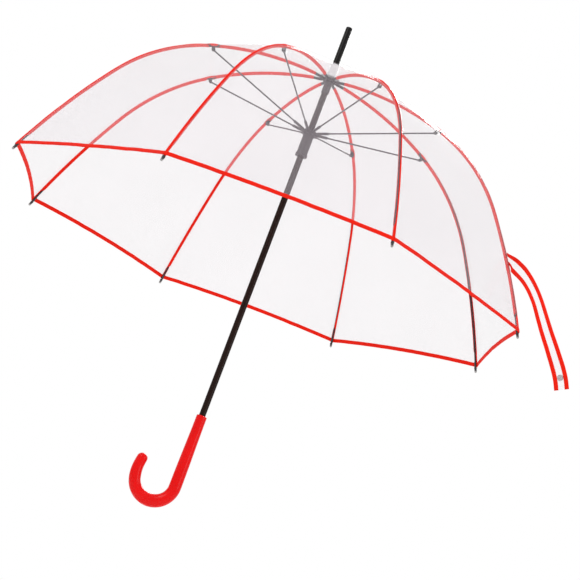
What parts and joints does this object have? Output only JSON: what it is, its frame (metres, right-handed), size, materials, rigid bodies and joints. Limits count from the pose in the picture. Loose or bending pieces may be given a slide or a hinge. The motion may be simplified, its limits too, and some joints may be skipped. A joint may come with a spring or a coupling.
{
  "type": "dome umbrella",
  "caption": "Clear dome stick umbrella with red trim and a crook handle; ribs, stretchers and runner fold it closed.",
  "frame": {"origin": "on the shaft's axis in the grip, 59 mm above the start of the crook", "axes": "+Z along the shaft towards the ferrule; -X towards the crook's mouth; ribs every 45 degrees from azimuth -157.5"},
  "size_m": [0.8655, 0.7816, 0.8185],
  "materials": {
    "shaft_black": "satin",
    "ferrule_black": "gloss",
    "clear_plastic": "gloss",
    "moulded_grey": "satin",
    "wire_steel": "satin",
    "handle_red": "gloss",
    "rib_black": "satin",
    "tip_black": "satin",
    "stretcher_grey": "satin",
    "film_clear": "gloss",
    "strap_film": "gloss"
  },
  "bodies": {
    "frame": {"shaft": "shaft_black", "ferrule": "ferrule_black", "top_cap": "clear_plastic", "notch": "moulded_grey", "notch_wire": "wire_steel", "handle": "handle_red"},
    "runner": {"runner": "moulded_grey", "runner_wire": "wire_steel"},
    "top_catch": {"top_catch": "wire_steel"},
    "bottom_catch": {"bottom_catch": "wire_steel"},
    "strap": {"strap": "strap_film", "strap_snap": "wire_steel"},
    "rib_inner_1": {"rib_inner_1": "rib_black"},
    "rib_inner_2": {"rib_inner_2": "rib_black"},
    "rib_inner_3": {"rib_inner_3": "rib_black"},
    "rib_inner_4": {"rib_inner_4": "rib_black"},
    "rib_inner_5": {"rib_inner_5": "rib_black"},
    "rib_inner_6": {"rib_inner_6": "rib_black"},
    "rib_inner_7": {"rib_inner_7": "rib_black"},
    "rib_inner_8": {"rib_inner_8": "rib_black"},
    "rib_outer_1": {"rib_outer_1": "rib_black", "rib_tip_1": "tip_black"},
    "rib_outer_2": {"rib_outer_2": "rib_black", "rib_tip_2": "tip_black"},
    "rib_outer_3": {"rib_outer_3": "rib_black", "rib_tip_3": "tip_black"},
    "rib_outer_4": {"rib_outer_4": "rib_black", "rib_tip_4": "tip_black"},
    "rib_outer_5": {"rib_outer_5": "rib_black", "rib_tip_5": "tip_black"},
    "rib_outer_6": {"rib_outer_6": "rib_black", "rib_tip_6": "tip_black"},
    "rib_outer_7": {"rib_outer_7": "rib_black", "rib_tip_7": "tip_black"},
    "rib_outer_8": {"rib_outer_8": "rib_black", "rib_tip_8": "tip_black"},
    "stretcher_1": {"stretcher_1": "stretcher_grey"},
    "stretcher_2": {"stretcher_2": "stretcher_grey"},
    "stretcher_3": {"stretcher_3": "stretcher_grey"},
    "stretcher_4": {"stretcher_4": "stretcher_grey"},
    "stretcher_5": {"stretcher_5": "stretcher_grey"},
    "stretcher_6": {"stretcher_6": "stretcher_grey"},
    "stretcher_7": {"stretcher_7": "stretcher_grey"},
    "stretcher_8": {"stretcher_8": "stretcher_grey"},
    "gore_inner_1": {"gore_inner_1": "film_clear"},
    "gore_inner_2": {"gore_inner_2": "film_clear"},
    "gore_inner_3": {"gore_inner_3": "film_clear"},
    "gore_inner_4": {"gore_inner_4": "film_clear"},
    "gore_inner_5": {"gore_inner_5": "film_clear"},
    "gore_inner_6": {"gore_inner_6": "film_clear"},
    "gore_inner_7": {"gore_inner_7": "film_clear"},
    "gore_inner_8": {"gore_inner_8": "film_clear"},
    "gore_outer_1": {"gore_outer_1": "film_clear"},
    "gore_outer_2": {"gore_outer_2": "film_clear"},
    "gore_outer_3": {"gore_outer_3": "film_clear"},
    "gore_outer_4": {"gore_outer_4": "film_clear"},
    "gore_outer_5": {"gore_outer_5": "film_clear"},
    "gore_outer_6": {"gore_outer_6": "film_clear"},
    "gore_outer_7": {"gore_outer_7": "film_clear"},
    "gore_outer_8": {"gore_outer_8": "film_clear"}
  },
  "joints": [
    {"name": "canopy_fold", "type": "hinge", "parent": "frame", "child": "rib_inner_1", "pos_m": [-0.00739, -0.00306, 0.624], "axis": [0.3827, -0.9239, 0], "range_deg": [0, 75.5]},
    {"name": "rib_fold_2", "type": "hinge", "parent": "frame", "child": "rib_inner_2", "pos_m": [-0.00306, -0.00739, 0.624], "axis": [0.9239, -0.3827, 0], "range_deg": [0, 75.5]},
    {"name": "rib_fold_3", "type": "hinge", "parent": "frame", "child": "rib_inner_3", "pos_m": [0.00306, -0.00739, 0.624], "axis": [0.9239, 0.3827, 0], "range_deg": [0, 75.5]},
    {"name": "rib_fold_4", "type": "hinge", "parent": "frame", "child": "rib_inner_4", "pos_m": [0.00739, -0.00306, 0.624], "axis": [0.3827, 0.9239, 0], "range_deg": [0, 75.5]},
    {"name": "rib_fold_5", "type": "hinge", "parent": "frame", "child": "rib_inner_5", "pos_m": [0.00739, 0.00306, 0.624], "axis": [-0.3827, 0.9239, 0], "range_deg": [0, 75.5]},
    {"name": "rib_fold_6", "type": "hinge", "parent": "frame", "child": "rib_inner_6", "pos_m": [0.00306, 0.00739, 0.624], "axis": [-0.9239, 0.3827, 0], "range_deg": [0, 75.5]},
    {"name": "rib_fold_7", "type": "hinge", "parent": "frame", "child": "rib_inner_7", "pos_m": [-0.00306, 0.00739, 0.624], "axis": [-0.9239, -0.3827, 0], "range_deg": [0, 75.5]},
    {"name": "rib_fold_8", "type": "hinge", "parent": "frame", "child": "rib_inner_8", "pos_m": [-0.00739, 0.00306, 0.624], "axis": [-0.3827, -0.9239, 0], "range_deg": [0, 75.5]},
    {"name": "stretcher_fold_1", "type": "hinge", "parent": "rib_inner_1", "child": "stretcher_1", "pos_m": [-0.18112, -0.07502, 0.57802], "axis": [0.3827, -0.9239, 0], "range_deg": [-151, 0]},
    {"name": "stretcher_fold_2", "type": "hinge", "parent": "rib_inner_2", "child": "stretcher_2", "pos_m": [-0.07502, -0.18112, 0.57802], "axis": [0.9239, -0.3827, 0], "range_deg": [-151, 0]},
    {"name": "stretcher_fold_3", "type": "hinge", "parent": "rib_inner_3", "child": "stretcher_3", "pos_m": [0.07502, -0.18112, 0.57802], "axis": [0.9239, 0.3827, 0], "range_deg": [-151, 0]},
    {"name": "stretcher_fold_4", "type": "hinge", "parent": "rib_inner_4", "child": "stretcher_4", "pos_m": [0.18112, -0.07502, 0.57802], "axis": [0.3827, 0.9239, 0], "range_deg": [-151, 0]},
    {"name": "stretcher_fold_5", "type": "hinge", "parent": "rib_inner_5", "child": "stretcher_5", "pos_m": [0.18112, 0.07502, 0.57802], "axis": [-0.3827, 0.9239, 0], "range_deg": [-151, 0]},
    {"name": "stretcher_fold_6", "type": "hinge", "parent": "rib_inner_6", "child": "stretcher_6", "pos_m": [0.07502, 0.18112, 0.57802], "axis": [-0.9239, 0.3827, 0], "range_deg": [-151, 0]},
    {"name": "stretcher_fold_7", "type": "hinge", "parent": "rib_inner_7", "child": "stretcher_7", "pos_m": [-0.07502, 0.18112, 0.57802], "axis": [-0.9239, -0.3827, 0], "range_deg": [-151, 0]},
    {"name": "stretcher_fold_8", "type": "hinge", "parent": "rib_inner_8", "child": "stretcher_8", "pos_m": [-0.18112, 0.07502, 0.57802], "axis": [-0.3827, -0.9239, 0], "range_deg": [-151, 0]},
    {"name": "runner_guide", "type": "hinge", "parent": "stretcher_1", "child": "runner", "pos_m": [-0.00739, -0.00306, 0.53204], "axis": [0.3827, -0.9239, 0], "range_deg": [0, 75.5]},
    {"name": "rib_flex_1", "type": "hinge", "parent": "rib_inner_1", "child": "rib_outer_1", "pos_m": [-0.18333, -0.07594, 0.58352], "axis": [0.3827, -0.9239, 0], "range_deg": [-36.5, 0]},
    {"name": "rib_flex_2", "type": "hinge", "parent": "rib_inner_2", "child": "rib_outer_2", "pos_m": [-0.07594, -0.18333, 0.58352], "axis": [0.9239, -0.3827, 0], "range_deg": [-36.5, 0]},
    {"name": "rib_flex_3", "type": "hinge", "parent": "rib_inner_3", "child": "rib_outer_3", "pos_m": [0.07594, -0.18333, 0.58352], "axis": [0.9239, 0.3827, 0], "range_deg": [-36.5, 0]},
    {"name": "rib_flex_4", "type": "hinge", "parent": "rib_inner_4", "child": "rib_outer_4", "pos_m": [0.18333, -0.07594, 0.58352], "axis": [0.3827, 0.9239, 0], "range_deg": [-36.5, 0]},
    {"name": "rib_flex_5", "type": "hinge", "parent": "rib_inner_5", "child": "rib_outer_5", "pos_m": [0.18333, 0.07594, 0.58352], "axis": [-0.3827, 0.9239, 0], "range_deg": [-36.5, 0]},
    {"name": "rib_flex_6", "type": "hinge", "parent": "rib_inner_6", "child": "rib_outer_6", "pos_m": [0.07594, 0.18333, 0.58352], "axis": [-0.9239, 0.3827, 0], "range_deg": [-36.5, 0]},
    {"name": "rib_flex_7", "type": "hinge", "parent": "rib_inner_7", "child": "rib_outer_7", "pos_m": [-0.07594, 0.18333, 0.58352], "axis": [-0.9239, -0.3827, 0], "range_deg": [-36.5, 0]},
    {"name": "rib_flex_8", "type": "hinge", "parent": "rib_inner_8", "child": "rib_outer_8", "pos_m": [-0.18333, 0.07594, 0.58352], "axis": [-0.3827, -0.9239, 0], "range_deg": [-36.5, 0]},
    {"name": "gore_fold_1", "type": "hinge", "parent": "frame", "child": "gore_inner_1", "pos_m": [-0.00523, -0.00523, 0.624], "axis": [0.7071, -0.7071, 0], "range_deg": [0, 75], "deforming": ["gore_inner_1"]},
    {"name": "gore_fold_2", "type": "hinge", "parent": "frame", "child": "gore_inner_2", "pos_m": [0, -0.00739, 0.624], "axis": [1, 0, 0], "range_deg": [0, 75], "deforming": ["gore_inner_2"]},
    {"name": "gore_fold_3", "type": "hinge", "parent": "frame", "child": "gore_inner_3", "pos_m": [0.00523, -0.00523, 0.624], "axis": [0.7071, 0.7071, 0], "range_deg": [0, 75], "deforming": ["gore_inner_3"]},
    {"name": "gore_fold_4", "type": "hinge", "parent": "frame", "child": "gore_inner_4", "pos_m": [0.00739, 0, 0.624], "axis": [0, 1, 0], "range_deg": [0, 75], "deforming": ["gore_inner_4"]},
    {"name": "gore_fold_5", "type": "hinge", "parent": "frame", "child": "gore_inner_5", "pos_m": [0.00523, 0.00523, 0.624], "axis": [-0.7071, 0.7071, 0], "range_deg": [0, 75], "deforming": ["gore_inner_5"]},
    {"name": "gore_fold_6", "type": "hinge", "parent": "frame", "child": "gore_inner_6", "pos_m": [0, 0.00739, 0.624], "axis": [-1, 0, 0], "range_deg": [0, 75], "deforming": ["gore_inner_6"]},
    {"name": "gore_fold_7", "type": "hinge", "parent": "frame", "child": "gore_inner_7", "pos_m": [-0.00523, 0.00523, 0.624], "axis": [-0.7071, -0.7071, 0], "range_deg": [0, 75], "deforming": ["gore_inner_7"]},
    {"name": "gore_fold_8", "type": "hinge", "parent": "frame", "child": "gore_inner_8", "pos_m": [-0.00739, 0, 0.624], "axis": [0, -1, 0], "range_deg": [0, 75], "deforming": ["gore_inner_8"]},
    {"name": "gore_flex_1", "type": "hinge", "parent": "gore_inner_1", "child": "gore_outer_1", "pos_m": [-0.1304, -0.1304, 0.58623], "axis": [0.7071, -0.7071, 0], "range_deg": [-38, 0], "deforming": ["gore_outer_1"]},
    {"name": "gore_flex_2", "type": "hinge", "parent": "gore_inner_2", "child": "gore_outer_2", "pos_m": [0, -0.18441, 0.58623], "axis": [1, 0, 0], "range_deg": [-38, 0], "deforming": ["gore_outer_2"]},
    {"name": "gore_flex_3", "type": "hinge", "parent": "gore_inner_3", "child": "gore_outer_3", "pos_m": [0.1304, -0.1304, 0.58623], "axis": [0.7071, 0.7071, 0], "range_deg": [-38, 0], "deforming": ["gore_outer_3"]},
    {"name": "gore_flex_4", "type": "hinge", "parent": "gore_inner_4", "child": "gore_outer_4", "pos_m": [0.18441, 0, 0.58623], "axis": [0, 1, 0], "range_deg": [-38, 0], "deforming": ["gore_outer_4"]},
    {"name": "gore_flex_5", "type": "hinge", "parent": "gore_inner_5", "child": "gore_outer_5", "pos_m": [0.1304, 0.1304, 0.58623], "axis": [-0.7071, 0.7071, 0], "range_deg": [-38, 0], "deforming": ["gore_outer_5"]},
    {"name": "gore_flex_6", "type": "hinge", "parent": "gore_inner_6", "child": "gore_outer_6", "pos_m": [0, 0.18441, 0.58623], "axis": [-1, 0, 0], "range_deg": [-38, 0], "deforming": ["gore_outer_6"]},
    {"name": "gore_flex_7", "type": "hinge", "parent": "gore_inner_7", "child": "gore_outer_7", "pos_m": [-0.1304, 0.1304, 0.58623], "axis": [-0.7071, -0.7071, 0], "range_deg": [-38, 0], "deforming": ["gore_outer_7"]},
    {"name": "gore_flex_8", "type": "hinge", "parent": "gore_inner_8", "child": "gore_outer_8", "pos_m": [-0.18441, 0, 0.58623], "axis": [0, -1, 0], "range_deg": [-38, 0], "deforming": ["gore_outer_8"]},
    {"name": "strap_hang", "type": "hinge", "parent": "rib_outer_4", "child": "strap", "pos_m": [0.34183, -0.14159, 0.412], "axis": [0.3827, 0.9239, 0], "range_deg": [-39, 0], "deforming": ["strap"]},
    {"name": "top_catch_press", "type": "slide", "parent": "frame", "child": "top_catch", "axis": [0, -1, 0], "range_m": [0, 0.0028], "stiffness_N_per_m": 400},
    {"name": "bottom_catch_press", "type": "slide", "parent": "frame", "child": "bottom_catch", "axis": [0, -1, 0], "range_m": [0, 0.0028], "stiffness_N_per_m": 400}
  ],
  "couplings": [
    {"joint": "rib_fold_2", "follows": "canopy_fold", "ratio": 1},
    {"joint": "rib_fold_3", "follows": "canopy_fold", "ratio": 1},
    {"joint": "rib_fold_4", "follows": "canopy_fold", "ratio": 1},
    {"joint": "rib_fold_5", "follows": "canopy_fold", "ratio": 1},
    {"joint": "rib_fold_6", "follows": "canopy_fold", "ratio": 1},
    {"joint": "rib_fold_7", "follows": "canopy_fold", "ratio": 1},
    {"joint": "rib_fold_8", "follows": "canopy_fold", "ratio": 1},
    {"joint": "stretcher_fold_1", "follows": "canopy_fold", "ratio": -2},
    {"joint": "stretcher_fold_2", "follows": "canopy_fold", "ratio": -2},
    {"joint": "stretcher_fold_3", "follows": "canopy_fold", "ratio": -2},
    {"joint": "stretcher_fold_4", "follows": "canopy_fold", "ratio": -2},
    {"joint": "stretcher_fold_5", "follows": "canopy_fold", "ratio": -2},
    {"joint": "stretcher_fold_6", "follows": "canopy_fold", "ratio": -2},
    {"joint": "stretcher_fold_7", "follows": "canopy_fold", "ratio": -2},
    {"joint": "stretcher_fold_8", "follows": "canopy_fold", "ratio": -2},
    {"joint": "runner_guide", "follows": "canopy_fold", "ratio": 1},
    {"joint": "rib_flex_1", "follows": "canopy_fold", "ratio": -0.48344},
    {"joint": "rib_flex_2", "follows": "canopy_fold", "ratio": -0.48344},
    {"joint": "rib_flex_3", "follows": "canopy_fold", "ratio": -0.48344},
    {"joint": "rib_flex_4", "follows": "canopy_fold", "ratio": -0.48344},
    {"joint": "rib_flex_5", "follows": "canopy_fold", "ratio": -0.48344},
    {"joint": "rib_flex_6", "follows": "canopy_fold", "ratio": -0.48344},
    {"joint": "rib_flex_7", "follows": "canopy_fold", "ratio": -0.48344},
    {"joint": "rib_flex_8", "follows": "canopy_fold", "ratio": -0.48344},
    {"joint": "gore_fold_1", "follows": "canopy_fold", "ratio": 0.99338},
    {"joint": "gore_fold_2", "follows": "canopy_fold", "ratio": 0.99338},
    {"joint": "gore_fold_3", "follows": "canopy_fold", "ratio": 0.99338},
    {"joint": "gore_fold_4", "follows": "canopy_fold", "ratio": 0.99338},
    {"joint": "gore_fold_5", "follows": "canopy_fold", "ratio": 0.99338},
    {"joint": "gore_fold_6", "follows": "canopy_fold", "ratio": 0.99338},
    {"joint": "gore_fold_7", "follows": "canopy_fold", "ratio": 0.99338},
    {"joint": "gore_fold_8", "follows": "canopy_fold", "ratio": 0.99338},
    {"joint": "gore_flex_1", "follows": "canopy_fold", "ratio": -0.50331},
    {"joint": "gore_flex_2", "follows": "canopy_fold", "ratio": -0.50331},
    {"joint": "gore_flex_3", "follows": "canopy_fold", "ratio": -0.50331},
    {"joint": "gore_flex_4", "follows": "canopy_fold", "ratio": -0.50331},
    {"joint": "gore_flex_5", "follows": "canopy_fold", "ratio": -0.50331},
    {"joint": "gore_flex_6", "follows": "canopy_fold", "ratio": -0.50331},
    {"joint": "gore_flex_7", "follows": "canopy_fold", "ratio": -0.50331},
    {"joint": "gore_flex_8", "follows": "canopy_fold", "ratio": -0.50331},
    {"joint": "strap_hang", "follows": "canopy_fold", "ratio": -0.51656}
  ]
}
